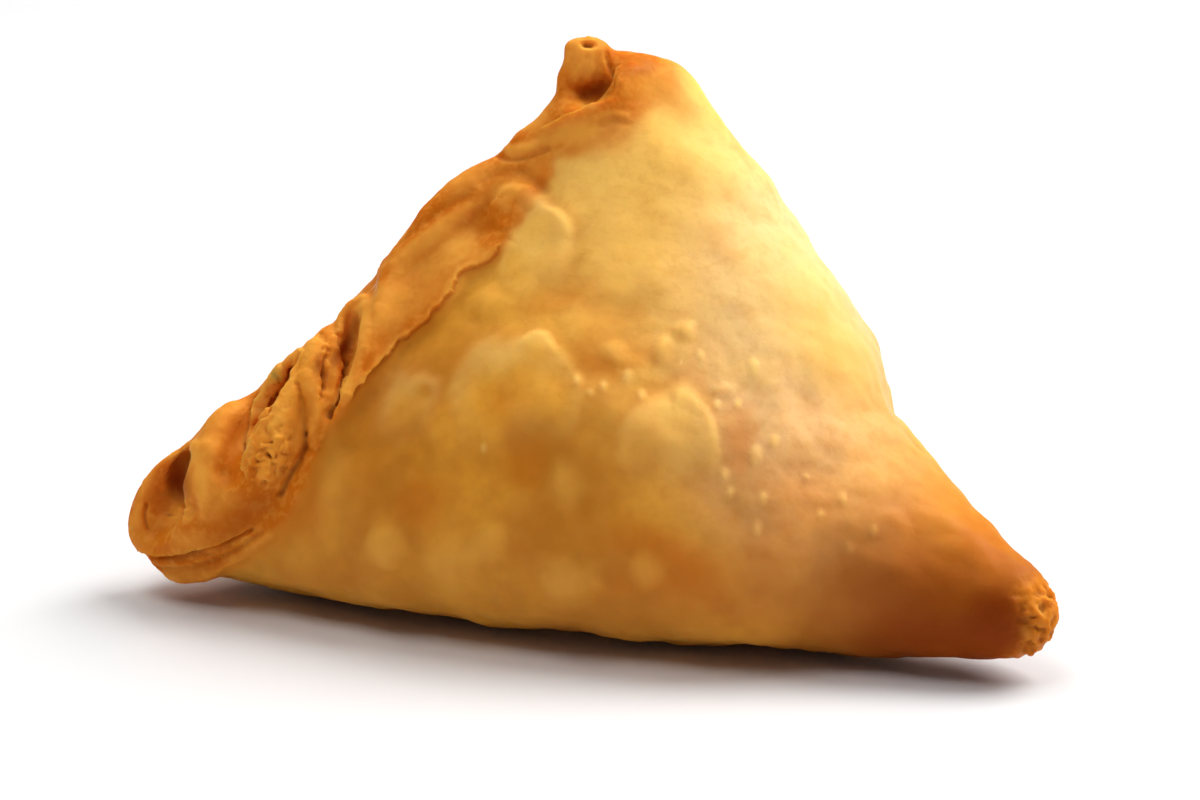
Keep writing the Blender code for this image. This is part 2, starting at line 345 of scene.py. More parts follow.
# %% [markdown]
# ### The pleats of the seam
#
# The edge of a samosa is sealed by folding it over and over on itself, which
# makes a rope. Seen close, every pleat starts at the outer rim as a smooth roll,
# dips into a hollow, and is covered by the crisp edge of the next one. Soft
# rolls and dips are drawn as strokes. A crisp edge is drawn as a step, which
# lifts the dough left of its path and presses it down on the right.

# %% Draw the folds of the rope
Stroke = namedtuple("Stroke", "height reach path")
Step = namedtuple("Step", "rise drop reach path")
HOLLOWS = {
    "inside of the rim": Stroke(-0.5, 15, ((163, 506), (165, 488), (172, 471), (182, 455))),
    "foot hollow": Stroke(-0.3, 12, ((181, 462), (180, 478), (178, 492))),
    "valley right of the dome": Stroke(-0.9, 21, ((248, 408), (240, 428), (233, 450), (230, 472))),
    "upper hollow": Stroke(-0.6, 12, ((352, 322), (350, 340), (347, 356))),
    "cup in the fold": Stroke(-0.5, 10, ((330, 358), (329, 371), (326, 386))),
    "filled start of the middle hollow": Stroke(0.7, 9, ((284, 374), (275, 388), (266, 402), (259, 416))),
}
ROPE_STROKES = {
    "rim of the ear": Stroke(0.3, 8, ((137, 524), (142, 496), (154, 468), (170, 450))),
    "nick in the foot": Stroke(-0.35, 3.5, ((147, 505), (145, 516), (148, 528))),
    "crown of the dome": Stroke(0.35, 24, ((210, 444), (222, 422), (240, 408))),
    "front of the dome": Stroke(0.35, 20, ((204, 452), (202, 480), (206, 506))),
    "roll of the second pleat": Stroke(0.45, 6, ((300, 352), (289, 363), (277, 377), (266, 391), (259, 402))),
    "middle hollow": Stroke(-0.3, 4, ((292, 370), (285, 384), (277, 397), (271, 411))),
    "crest of the ridge": Stroke(0.45, 16, ((300, 378), (290, 401), (281, 430), (274, 454), (266, 476))),
    "crease beside the ridge": Stroke(-0.3, 6, ((299, 386), (302, 402), (302, 418), (304, 434))),
    "crease beside the ridge, lower end": Stroke(-0.5, 5, (
        (304, 434), (303, 448), (296, 464), (288, 479), (281, 494))),
    "crest of the fold": Stroke(0.4, 12, ((312, 342), (309, 366), (313, 392), (318, 418), (312, 440))),
    "upper hollow, lower end": Stroke(-0.6, 5, ((348, 362), (345, 374), (340, 388), (334, 402), (327, 416))),
    "below the upper hollow": Stroke(-0.3, 9, ((327, 416), (318, 432), (308, 448))),
    "rim of the small ear": Stroke(0.35, 5, ((338, 332), (340, 320), (347, 307), (357, 299), (366, 297))),
    "second crease": Stroke(-0.3, 4, (
        (147, 565), (170, 570), (195, 567), (220, 558), (243, 545), (262, 532))),
    "lip under the creases": Stroke(0.25, 7, (
        (150, 574), (180, 579), (205, 576), (232, 564), (252, 551), (272, 535))),
}
ROPE_STEPS = {
    "edge of the dome": Step(0.4, 0.5, 8, (
        (195, 444), (191, 458), (188, 474), (185, 490), (182, 504), (182, 516))),
    "edge of the second pleat": Step(0.45, 0.4, 6, (
        (257, 398), (254, 412), (252, 426), (247, 440), (242, 456), (240, 470))),
    "lowest crease": Step(0.25, 0.65, 5, (
        (140, 552), (160, 557), (183, 554), (205, 548), (227, 540), (250, 529))),
    "left side of the cup": Step(0.2, 0.45, 7, ((320, 397), (321, 380), (322, 364), (325, 350))),
}
TORN_STEPS = {
    "edge of the ridge": Step(0.35, 0.3, 6, (
        (300, 358), (293, 372), (283, 386), (275, 397), (272, 412), (260, 424),
        (252, 438), (244, 452), (241, 464), (246, 478))),
    "edge of the fold": Step(0.35, 0.35, 5, ((333, 402), (340, 386), (344, 371), (341, 356), (334, 336))),
}


def push_of(stroke, places):
    """How high one stroke or step lifts each point, in mm, fading out at its reach."""
    gap, side = distance_to_path(places, stroke.path, stroke.reach)
    nearness = 1 - np.minimum(gap / stroke.reach, 1) ** 2
    if isinstance(stroke, Stroke):
        return stroke.height * nearness**2
    return np.where(side > 0, stroke.rise, -stroke.drop) * (1 - np.minimum(gap / stroke.reach, 1)) ** 1.5


def sculpt(piece, strokes, places):
    """Moves the piece's points by all the strokes, along the crust's own normals."""
    push = sum(push_of(stroke, places) for stroke in strokes.values()) * sight
    push = spread(push, edges, 1)
    write_points(piece, read_points(piece) + read_normals(piece) * push[:, None] * MM)
    print("deepest and highest push in mm:", push.min().round(2), push.max().round(2))
    return push


sculpt(crust, HOLLOWS, places)
drawn = sculpt(crust, {**ROPE_STROKES, **ROPE_STEPS}, places)
drawn += sculpt(crust, TORN_STEPS, torn_places)

# %% [markdown]
# ### The flap and the rolls above it
#
# Higher up, the last fold lies flat on the broad side as a thin flap with a
# torn edge. The edge is one long ragged step, and soft strokes around it give
# the flap its swell, its pale ridge and its rounded end.

# %% Draw the flap's edges
FLAP_STROKES = {
    "left edge of the flap": Stroke(0.4, 9, ((364, 304), (364, 330), (361, 352), (354, 374), (346, 392))),
    "swell of the flap": Stroke(0.4, 26, ((392, 318), (420, 282), (446, 252))),
    "pale ridge of the flap": Stroke(0.35, 15, ((398, 264), (412, 249), (430, 235), (448, 224), (464, 214))),
    "dip beside the pale ridge": Stroke(-0.3, 14, ((400, 240), (420, 225), (442, 208), (466, 196))),
    "dip before the end": Stroke(-0.25, 16, ((478, 232), (494, 222), (508, 222))),
    "end of the flap": Stroke(0.25, 12, ((472, 204), (486, 194), (502, 187), (520, 190), (530, 202))),
    "dip beyond the flap": Stroke(-0.25, 10, ((482, 180), (500, 171), (524, 173), (543, 190))),
    "crease above the roll": Stroke(-0.22, 5, ((498, 156), (514, 160), (530, 156), (548, 149))),
    "bead above the roll": Stroke(0.2, 9, ((510, 150), (524, 150), (540, 142), (560, 138))),
}
FLAP_STEPS = {
    "torn edge": Step(0.3, 0.2, 7, (
        (352, 398), (370, 374), (396, 345), (420, 326), (440, 306), (453, 287),
        (461, 272), (474, 266), (488, 259), (498, 248))),
}
drawn += sculpt(crust, FLAP_STROKES, places)
drawn += sculpt(crust, FLAP_STEPS, torn_places)

# %% [markdown]
# ### The peak
#
# At the top the rope ends in a little rolled horn. The broad side's own edge
# passes in front of it like a lip, and between the two is a dark pocket.

# %% Draw the horn, its pocket and the lip
PEAK_STROKES = {
    "pocket": Stroke(-0.35, 11, ((586, 96), (596, 92), (604, 82))),
    "left flute of the horn": Stroke(-0.15, 5, ((577, 62), (575, 72), (574, 80))),
    "middle flute of the horn": Stroke(-0.15, 5, ((587, 62), (586, 72), (585, 80))),
    "right flute of the horn": Stroke(-0.15, 5, ((597, 60), (597, 70), (596, 78))),
    "hole in the horn": Stroke(-0.6, 5, ((586, 50), (590, 51))),
    "fold right of the horn": Stroke(-0.3, 5, ((606, 58), (610, 66), (612, 74))),
    "crumpled shoulder": Stroke(0.14, 5, ((594, 119), (610, 114), (626, 116))),
    "crumple below it": Stroke(-0.1, 5, ((600, 126), (616, 122), (630, 124))),
    "lip in front": Step(0.35, 0.3, 8, (
        (618, 70), (611, 86), (600, 100), (586, 108), (566, 114), (546, 122))),
}
drawn += sculpt(crust, PEAK_STROKES, places)

# %% [markdown]
# Easing the net has shrunk the thin horn a little, and the dome's edge leans too
# far left at its foot. A pull moves everything near a place in the picture
# across and down by some pixels, like a grab brush.

# %% Pull the horn and the dome's edge into place
Pull = namedtuple("Pull", "across down reach move_across move_down")
PULLS = (
    Pull(586, 48, 36, 0, -5),
    Pull(571, 48, 20, -5, -4),
    Pull(600, 46, 18, 4, -2),
    Pull(566, 74, 24, -4, 0),
    Pull(536, 118, 30, 0, 4),
    Pull(184, 508, 22, 7, 0),
)


def pull_points(piece, pulls):
    points = read_points(piece)
    for pull in pulls:
        away = np.hypot(*(picture_places(points) - (pull.across, pull.down)).T) / pull.reach
        share = np.clip(1 - away**2, 0, 1)[:, None] ** 2
        move = camera_right * pull.move_across - camera_up * pull.move_down
        points = points + share * move * PIXEL_SIZE
    write_points(piece, points)


pull_points(crust, PULLS)

# %% [markdown]
# ## Blisters
#
# Hot oil turns the water in the dough to steam, which lifts the outer skin into
# flat blisters. Each has a steep rim on its upper side and runs out softly below.
# The upper rim is partly paler skin and partly a painted highlight, where light
# from above catches it. They are placed one by one. A blister is made of several
# dabs, which are discs whose outlines melt into one, and it is highest at its
# upper rim. Lumps and small bubbles are single dabs with a round top, and the
# bubbles also get a painted highlight. The outlines wander.
# Where the seam is torn, many tiny dabs are strewn at random, half of them
# raised as crumbs and half of them pressed in as pits.

# %% Where the blisters, lumps, bubbles and torn spots are
Dab = namedtuple("Dab", "height across down half_width half_height lean")
Blister = namedtuple("Blister", "height top bottom steepness dabs")
BLISTERS = {
    "upper left blister": Blister(0.65, 338, 456, 5, (
        Dab(1, 496, 406, 42, 62, 0), Dab(1, 526, 388, 38, 46, 0), Dab(1, 552, 398, 28, 46, 0),
        Dab(1, 540, 354, 20, 18, 0))),
    "right blister": Blister(0.8, 384, 484, 6, (
        Dab(1, 688, 434, 24, 48, 0), Dab(1, 656, 450, 36, 48, 0), Dab(1, 702, 450, 17, 50, 0))),
    "pale lump by the flap": Blister(0.85, 188, 310, 6, (
        Dab(1, 538, 230, 29, 30, -10), Dab(1, 548, 258, 19, 26, 0), Dab(1, 512, 208, 26, 20, -10),
        Dab(1, 520, 266, 24, 30, 0))),
    "far left blister": Blister(0.35, 378, 450, 3, (
        Dab(1, 408, 412, 26, 34, 6), Dab(1, 424, 396, 16, 20, 0))),
}
LUMPS = {
    "bridge between the blisters": Dab(0.35, 606, 400, 42, 26, 10),
    "low left blister": Dab(0.5, 340, 500, 40, 60, 24),
    "low left lump": Dab(0.6, 388, 550, 28, 26, 0),
    "low lump": Dab(0.7, 456, 566, 34, 40, 0),
    "beside the low lump": Dab(0.5, 490, 548, 24, 26, 0),
    "middle lump": Dab(0.4, 566, 484, 30, 34, 0),
    "low middle lump": Dab(0.7, 562, 582, 28, 34, 0),
    "beside the low middle lump": Dab(0.6, 590, 580, 22, 28, 0),
    "low right lump": Dab(0.45, 652, 574, 26, 24, 0),
    "lump near the right edge": Dab(0.4, 762, 606, 34, 20, -10),
    "lump under the flap": Dab(0.4, 484, 304, 28, 22, -20),
    "high left streak": Dab(0.35, 618, 352, 22, 16, 0),
    "high middle streak": Dab(0.35, 661, 352, 11, 18, 8),
    "high right streak": Dab(0.35, 682, 332, 13, 16, -10),
    "bump by the dark hole": Dab(0.35, 726, 390, 11, 11, 0),
}
BUBBLES = (
    (724, 476, 7), (730, 492, 6), (755, 456, 9), (763, 498, 6), (758, 528, 7), (773, 442, 6),
    (842, 500, 6), (820, 514, 5), (874, 532, 6), (752, 368, 8), (806, 478, 4), (848, 548, 5),
    (700, 356, 5), (484, 447, 4), (738, 404, 5), (578, 380, 7), (603, 387, 6),
    (628, 378, 7), (642, 396, 6), (590, 393, 4), (717, 405, 5),
)
TORN_SPOTS = (
    Dab(0.9, 268, 456, 23, 31, 22), Dab(0.7, 322, 345, 12, 14, 0), Dab(0.7, 177, 512, 14, 7, 10),
    Dab(0.8, 1038, 628, 17, 36, 12),
)
CRUMBS_PER_SPOT = (130, 16, 16, 90)

# %% Helpers for crumbs, blisters and spots
CRUMB_SIZES = (2.4, 7.5)
DEEPEST_PIT = -0.40
HIGHEST_CRUMB = 0.44
STREWING_SEED = 5


def strewn(area, count, chance):
    """Tiny dabs at random places within an area."""
    lean = math.radians(area.lean)
    away = np.sqrt(chance.uniform(0, 1, count))
    turn = chance.uniform(0, 2 * math.pi, count)
    over, below = away * np.cos(turn) * area.half_width, away * np.sin(turn) * area.half_height
    across = area.across + over * math.cos(lean) - below * math.sin(lean)
    down = area.down + over * math.sin(lean) + below * math.cos(lean)
    sizes = chance.uniform(*CRUMB_SIZES, (count, 2))
    heights = area.height * chance.uniform(DEEPEST_PIT, HIGHEST_CRUMB, count) * (1.1 - 0.5 * away)
    return [Dab(*values, 0) for values in zip(heights, across, down, *sizes.T)]


def away_from(dab, places):
    """Distance from a dab's middle, 1 at its outline, and how far down within it."""
    lean = math.radians(dab.lean)
    across = places[:, 0] - dab.across
    down = places[:, 1] - dab.down
    over = (across * math.cos(lean) + down * math.sin(lean)) / dab.half_width
    below = (down * math.cos(lean) - across * math.sin(lean)) / dab.half_height
    return np.hypot(over, below), below


def blister(shape, places):
    """The height of a flat-topped blister, its upper rim, partly paler skin and partly painted highlight, and
    the brown ring around it.
    """
    away = np.min([away_from(dab, places)[0] for dab in shape.dabs], axis=0)
    flat_top = 1 / (1 + away ** (2 * shape.steepness))
    upper = np.clip((shape.bottom - places[:, 1]) / (shape.bottom - shape.top), 0, 1)
    rim = np.clip((away - 0.3) / 0.6, 0, 1) * flat_top * upper
    ring = np.clip(1.5 - away, 0, 0.5) * 2 * (1 - flat_top) * upper
    return shape.height * flat_top * upper, rim, ring


def spot(dab, places):
    """A soft round spot, 1 in the middle and 0 from its outline on, times its height."""
    away, _ = away_from(dab, places)
    return dab.height * np.clip(1 - away**2, 0, 1) ** 1.5


# %% Raise the blisters
ragged_places = true_places + 9 * wander(points, 6) + 4 * wander(points, 2.2)
bubble_dabs = [Dab(1.0, x, y, 0.9 * size, 1.5 * size, 8) for x, y, size in BUBBLES]
blisters = [blister(shape, ragged_places) for shape in BLISTERS.values()]
lumps = sum(spot(dab, ragged_places) for dab in LUMPS.values())
bubbles = np.max([spot(dab, places) for dab in bubble_dabs], axis=0)
heights, rims, rings = (np.max(kind, axis=0) for kind in zip(*blisters))
raised = heights + lumps + 0.28 * bubbles
# Blister rims and bubbles: partly paler skin, partly painted highlight.
pale_and_lit_blisters = np.maximum(0.75 * rims, 0.9 * bubbles)
raised = spread(raised * sight, edges, 3)
chance = np.random.default_rng(STREWING_SEED)
crumbs = sum([strewn(area, count, chance) for area, count in zip(TORN_SPOTS, CRUMBS_PER_SPOT)], [])
raised += spread(sum(spot(dab, torn_places) for dab in crumbs) * sight, edges, 1)
write_points(crust, read_points(crust) + read_normals(crust) * raised[:, None] * MM)
print("blisters, lumps and bubbles:", len(blisters), len(LUMPS), len(BUBBLES))
print("highest in mm:", raised.max().round(2))

# %% [markdown]
# ### Where each kind of skin is
#
# The seam is knobbly, torn dough crumbles, the cut end of the tip is porous, and
# the broad sides are smoother. A mask tells for every point how far it belongs
# to one of these. Masks can be painted by hand in Weight Paint mode. Here they
# are worked out from place: along the seam, beside a path or past the start of
# the tip. That way a border is crisp where the flap lies on the broad side, and
# wanders and fades where the orange runs out under the peak.

# %% Masks for the seam, the tip and the torn dough
SEAM_EDGE = ((100, 592), (160, 592), (205, 586), (243, 552), (272, 536), (292, 510), (306, 480),
             (318, 446), (333, 416), (350, 398), (370, 374), (397, 344), (420, 328), (440, 308),
             (454, 286), (461, 273), (474, 268), (490, 260), (503, 246), (512, 226), (526, 206),
             (546, 190), (560, 158), (584, 142), (606, 132), (640, 122), (656, 96), (672, 74), (700, 50))
RIDGE_PATH = ((304, 364), (292, 396), (278, 428), (264, 462))
FOLD_PATH = ((322, 340), (326, 372), (324, 410))
CUP_PATH = ((170, 512), (184, 517))

points = read_points(crust)
along, outward, front = seam_places(points).T


def band(values, low, high, fade):
    """1 between low and high, falling to 0 over the fade outside them."""
    return np.clip((values - low) / fade + 1, 0, 1) * np.clip((high - values) / fade + 1, 0, 1)


# The bounds are in mm, like the places that seam_places gives.
on_rope = band(along, -6, 34, 3) * band(outward, -6, 20, 1.5) * band(front, -9, 30, 4)
on_flap = band(along, 34, 58, 3) * band(outward, -4.0, 20, 1.5) * band(front, -9, 30, 4)
at_peak = band(along, 62, 90, 3) * band(outward, -3, 20, 2)

# On the seen side the border is drawn. Toward the peak it wanders more and softens.
loose = np.clip((true_places[:, :1] - 480) / 60, 0, 1)
across, down = (torn_places * (1 - loose) + (2 * ragged_places - true_places) * loose).T
edge_across, edge_down = np.array(SEAM_EDGE).T
above_edge = np.interp(across, edge_across, edge_down) - down
softness = np.interp(across, (440, 560, 620), (4, 24, 56))
seen_seam = np.clip(above_edge / softness + 0.5, 0, 1) * np.clip((700 - across) / 40, 0, 1)
seam = np.where(sight > 0, seen_seam, np.clip(on_rope + on_flap + at_peak, 0, 1))
ripple = 0.3 * wander(points, 4)[:, 0]
tip = np.clip((points[:, 0] / MM - 47.8) / 2.2 + 3 * ripple, 0, 1)
rest = (1 - spread(seam, edges, 6)) * (1 - tip)

# High up on the seen side the skin is half as rough.
smooth_top = 1 - 0.5 * np.clip((points[:, 2] / MM - 24) / 16, 0, 1) * sight


def near_path(path, reach):
    gap, _ = distance_to_path(places, path, 2 * reach)
    return np.clip(1.4 - gap / reach, 0, 1) * sight


torn = near_path(RIDGE_PATH, 15) + 0.6 * near_path(FOLD_PATH, 10) + 0.6 * near_path(CUP_PATH, 6)
torn = np.clip(torn + tip, 0, 1)
print("share of the net in the seam:", seam.mean().round(3))

# %% [markdown]
# ### The hidden sides
#
# The back is the same fried dough, so it gets blisters too, at random places.
# Separate bumps would have to be joined to the crust afterwards. Raising the
# points around each chosen centre needs no joining. A ripple in the distance
# from the centre keeps the outlines from being perfect circles.

# %% Strew blisters over the hidden sides
HIDDEN_BLISTERS = 36
HIDDEN_RADII = (2.2, 6.0)
HIDDEN_HEIGHTS = (0.25, 0.6)
RIPPLE_IN_OUTLINE = 1.8
CLEAR_OF_TABLE = 3 * MM
hidden = np.nonzero((sight == 0) & (rest > 0.9) & (points[:, 2] > CLEAR_OF_TABLE))[0]
centres = points[chance.choice(hidden, HIDDEN_BLISTERS)]
radii = chance.uniform(*HIDDEN_RADII, HIDDEN_BLISTERS) * MM
heights = chance.uniform(*HIDDEN_HEIGHTS, HIDDEN_BLISTERS)
bulge = np.zeros(len(points))
for centre, radius, height in zip(centres, radii, heights):
    away = np.linalg.norm(points - centre, axis=1) / radius
    away = np.maximum(away + RIPPLE_IN_OUTLINE * ripple, 0)
    bulge = np.maximum(bulge, height / (1 + away**8))
bulge = spread(bulge * rest * (1 - np.clip(sight * 3, 0, 1)), edges, 3)
write_points(crust, points + read_normals(crust) * bulge[:, None] * MM)
print("hidden blisters:", HIDDEN_BLISTERS, "highest in mm:", bulge.max().round(2))

# %% [markdown]
# ### Noise for the whole skin
#
# Between the blisters the skin is uneven, on the hidden sides too. Displace
# modifiers do this with noise: each has a texture, a strength and a vertex group
# that says where it acts. Contrast turns cloudy noise into flat-topped patches,
# which look like low blisters.

# %% Roughen the skin with noise
MASK_STEPS = 20
Roughness = namedtuple("Roughness", "kind size strength contrast mask")
ROUGHNESS = {
    "low blisters": Roughness("CLOUDS", 7.0, 0.45, 2.5, "skin"),
    "packed blisters": Roughness("VORONOI", 7.0, -0.42, 1.2, "skin"),
    "small blisters": Roughness("VORONOI", 2.8, -0.08, 1.2, "skin"),
    "grain of the dough": Roughness("CLOUDS", 1.2, 0.05, 1.0, "skin"),
    "kneaded folds": Roughness("CLOUDS", 3.2, 0.20, 1.5, "rope"),
    "grain of the rope": Roughness("CLOUDS", 1.2, 0.07, 1.5, "rope"),
    "torn dough": Roughness("CLOUDS", 1.8, 0.20, 1.5, "crumbly"),
    "crumbs": Roughness("CLOUDS", 0.7, 0.12, 2.0, "crumbly"),
    "pores of the tip": Roughness("VORONOI", 1.3, 0.16, 1.5, "porous"),
    "crumbs of the tip": Roughness("CLOUDS", 1.2, 0.38, 2.0, "porous"),
}


def vertex_mask(piece, name, values):
    """Stores a mask as a vertex group, rounded to a few steps."""
    group = piece.vertex_groups.new(name=name)
    for step in range(1, MASK_STEPS + 1):
        members = np.nonzero(np.round(values * MASK_STEPS) == step)[0].tolist()
        group.add(members, step / MASK_STEPS, "REPLACE")


def roughen(piece, name, rough):
    pattern = bpy.data.textures.new(name, rough.kind)
    pattern.noise_scale = rough.size * MM
    pattern.contrast = rough.contrast
    change = piece.modifiers.new(name, "DISPLACE")
    change.texture = pattern
    change.texture_coords = "LOCAL"
    change.strength = rough.strength * MM
    change.mid_level = 0.5
    change.vertex_group = rough.mask


vertex_mask(crust, "skin", rest * smooth_top)
vertex_mask(crust, "rope", 1 - rest)
vertex_mask(crust, "crumbly", torn)
vertex_mask(crust, "porous", tip)
for name, rough in ROUGHNESS.items():
    roughen(crust, name, rough)
apply_all(crust)

# %% [markdown]
# ## Painting patches
#
# No two patches of fried dough have one colour. Noise gives an even mottling,
# but the eye knows this pastry by its larger patches: the dark tip, the orange
# band under the peak, the pale lumps. Other patches are painted light and shade:
# painted light on the upper right edge, painted highlights on rolls, edges and
# crumbs that catch the light, and painted shade in the creases, in the pocket
# under the horn, beside the dome and over the lower parts. They are painted like
# the blisters, as soft spots whose outlines wander, and added up into one mask
# for each tone.

# %% Paint pale, lit, brown, dark and shaded patches
# Pale patches: paler lumps and blister tops, and painted light on the bright upper right edge.
PALE_AND_LIT_PATCHES = (
    Dab(0.5, 500, 358, 46, 22, -8), Dab(0.4, 456, 388, 14, 30, 0), Dab(0.5, 540, 346, 24, 16, 0),
    Dab(0.6, 682, 402, 36, 22, -8), Dab(0.5, 712, 442, 12, 42, 0), Dab(0.3, 606, 390, 36, 18, 8),
    Dab(0.4, 410, 404, 24, 32, 0), Dab(0.35, 334, 482, 20, 56, 8), Dab(0.5, 390, 546, 26, 24, 0),
    Dab(0.5, 568, 578, 38, 30, 0), Dab(0.3, 650, 568, 26, 20, 0), Dab(0.35, 566, 480, 30, 34, 0),
    Dab(0.4, 452, 560, 36, 40, 0), Dab(0.35, 486, 544, 26, 26, 0), Dab(0.5, 682, 440, 34, 44, 0),
    Dab(0.6, 588, 178, 30, 40, -20), Dab(0.7, 566, 236, 8, 34, -8), Dab(0.3, 630, 240, 50, 60, 0),
    Dab(0.45, 536, 244, 32, 50, -12), Dab(0.3, 616, 350, 30, 18, 0), Dab(0.4, 676, 340, 22, 24, 0),
    Dab(0.5, 790, 300, 60, 110, -28), Dab(0.8, 835, 350, 50, 100, -28), Dab(0.4, 880, 470, 50, 36, 35),
    Dab(0.4, 700, 160, 40, 90, -30), Dab(0.3, 752, 372, 40, 30, 0),
)
# Light patches: mostly painted highlights on rolls, pleat edges, the dome and crumbs that catch the light,
# with some lighter dough.
LIGHT_AND_HIGHLIGHT_PATCHES = (
    Dab(0.8, 432, 236, 42, 12, -35), Dab(0.6, 448, 288, 10, 26, 30), Dab(0.8, 508, 194, 28, 16, -10),
    Dab(0.5, 392, 300, 22, 40, 30), Dab(0.3, 232, 416, 40, 16, -28), Dab(1.0, 270, 394, 12, 36, 36),
    Dab(0.6, 314, 348, 14, 22, 10), Dab(0.5, 288, 400, 10, 36, 20), Dab(0.9, 580, 128, 46, 18, -14),
    Dab(0.9, 584, 60, 24, 28, 0), Dab(0.6, 470, 178, 44, 14, -30), Dab(0.9, 456, 248, 26, 18, -35),
    Dab(0.5, 160, 455, 40, 10, -40), Dab(0.5, 175, 572, 40, 8, 0), Dab(0.9, 524, 150, 28, 14, -20),
    Dab(0.35, 180, 513, 16, 10, 0), Dab(0.8, 248, 438, 5, 36, 14), Dab(0.8, 352, 306, 9, 22, 30),
    Dab(0.7, 200, 480, 8, 40, 0), Dab(0.6, 280, 420, 14, 26, 20), Dab(0.8, 1021, 632, 4, 7, 0),
    Dab(0.6, 642, 84, 34, 26, 0), Dab(0.6, 1042, 606, 8, 8, 0), Dab(0.5, 1030, 652, 6, 4, 0),
    Dab(0.5, 1050, 640, 4, 7, 0),
)
# Brown patches: real browner mottling, and painted shade on the dome's right side, beside the folds and over
# the lower parts.
BROWN_AND_SHADE_PATCHES = (
    Dab(0.5, 418, 500, 34, 34, 0), Dab(0.4, 520, 462, 32, 34, 0), Dab(0.45, 640, 542, 56, 26, 0),
    Dab(0.35, 620, 585, 24, 26, 0), Dab(0.3, 330, 572, 80, 18, 6), Dab(0.28, 770, 572, 54, 58, 0),
    Dab(0.3, 632, 104, 34, 20, 0), Dab(0.4, 560, 300, 60, 26, -10),
    Dab(0.35, 320, 510, 24, 60, 25), Dab(0.6, 703, 375, 5, 5, 0), Dab(0.25, 610, 320, 50, 30, 0),
    Dab(0.6, 486, 222, 26, 20, -30), Dab(0.5, 420, 290, 30, 30, 30), Dab(0.5, 540, 182, 18, 26, 0),
    Dab(0.5, 600, 356, 46, 30, 0), Dab(0.35, 508, 408, 34, 36, 0), Dab(0.6, 232, 448, 13, 34, 10),
    Dab(0.5, 310, 408, 8, 24, 0), Dab(0.6, 329, 370, 7, 20, 0), Dab(0.8, 230, 524, 56, 22, -32),
    Dab(0.6, 634, 68, 30, 18, 0), Dab(0.3, 674, 108, 30, 40, -20), Dab(0.6, 690, 580, 60, 44, 0),
    Dab(0.4, 300, 520, 30, 24, -30), Dab(0.5, 985, 548, 44, 26, 42), Dab(0.5, 738, 440, 22, 50, 0),
    Dab(0.2, 850, 590, 50, 50, 0), Dab(0.4, 640, 350, 34, 22, 0), Dab(0.3, 228, 420, 40, 14, -28),
    Dab(0.35, 800, 500, 70, 46, 25), Dab(0.4, 596, 384, 44, 34, 0), Dab(0.5, 676, 560, 50, 40, 0),
)
# Dark patches: the real dark brown of the tip, and painted shade in the ear's cup, the hollows of the fold,
# the pocket under the horn and the creases below the rope.
DARK_AND_SHADE_PATCHES = (
    Dab(1.0, 994, 622, 46, 50, 20), Dab(0.7, 1004, 622, 22, 36, 12), Dab(0.7, 940, 642, 100, 34, 4),
    Dab(0.35, 900, 592, 90, 50, 20),
    Dab(0.4, 599, 94, 15, 16, -20), Dab(0.3, 588, 92, 18, 14, 0), Dab(0.2, 860, 645, 80, 16, 0),
    Dab(1.0, 180, 480, 13, 30, 12), Dab(1.0, 348, 348, 9, 28, 12), Dab(0.8, 327, 371, 8, 22, 0),
    Dab(0.25, 240, 522, 56, 20, -34), Dab(0.35, 636, 68, 30, 16, 0), Dab(0.8, 1035, 638, 5, 5, 0),
    Dab(0.8, 1046, 628, 4, 5, 0), Dab(0.8, 1025, 648, 4, 3, 0), Dab(0.7, 1036, 616, 3, 3, 0),
    Dab(0.4, 306, 440, 6, 40, 14), Dab(0.5, 184, 556, 50, 4, -4), Dab(0.4, 228, 540, 26, 4, -22),
)


def painted(patches):
    """Adds up soft patches, never beyond 1."""
    bare = np.ones(len(ragged_places))
    for patch in patches:
        bare *= 1 - spot(patch, ragged_places)
    return (1 - bare) * np.clip(sight * 3, 0, 1)


paints = {
    "pale and lit paint": painted(PALE_AND_LIT_PATCHES),
    "light and highlight paint": painted(LIGHT_AND_HIGHLIGHT_PATCHES),
    "brown and shade paint": np.maximum(painted(BROWN_AND_SHADE_PATCHES), 0.5 * rings * (sight > 0)),
    "dark and shade paint": painted(DARK_AND_SHADE_PATCHES),
}
print("painted shares:", {name: paint.mean().round(3) for name, paint in paints.items()})

# %% [markdown]
# ## Masks for the material, and a lighter net
#
# Two more masks come from the form itself. The net is eased in a copy: where the
# eased crust lies outside the real one there is a hollow, and where it lies
# inside there is a crest. A few easings find the fine dips, many the broad ones.
# The material uses them for painted shade in the hollows and painted highlights
# on the crests.
#
# Then the dense net has done its work. A Decimate modifier takes away what the
# form doesn't need, mostly on the smooth parts, so that the piece stays light.
# The masks are stored as attributes first, so that they are carried along.

# %% Store the masks and thin the net
TRIANGLES_KEPT = 190000
FINE_EASING = 8
BROAD_EASING = 90
NEAR_SEAM_EASING = 250
DEEP_FINE_DIP = 0.12
DEEP_BROAD_DIP = 0.6
HIGH_BROAD_RIM = 0.35
DEEP_GROOVE = 0.7
HIGH_BEAD = 0.45


def store(piece, name, values):
    attribute = piece.data.attributes.new(name, "FLOAT", "POINT")
    attribute.data.foreach_set("value", np.asarray(values, dtype=np.float32))


points = read_points(crust)
normals = read_normals(crust)
fine_dip = ((spread(points, edges, FINE_EASING) - points) * normals).sum(axis=1) / MM
broad_dip = ((spread(points, edges, BROAD_EASING) - points) * normals).sum(axis=1) / MM
broad_dip = spread(broad_dip, edges, 3)
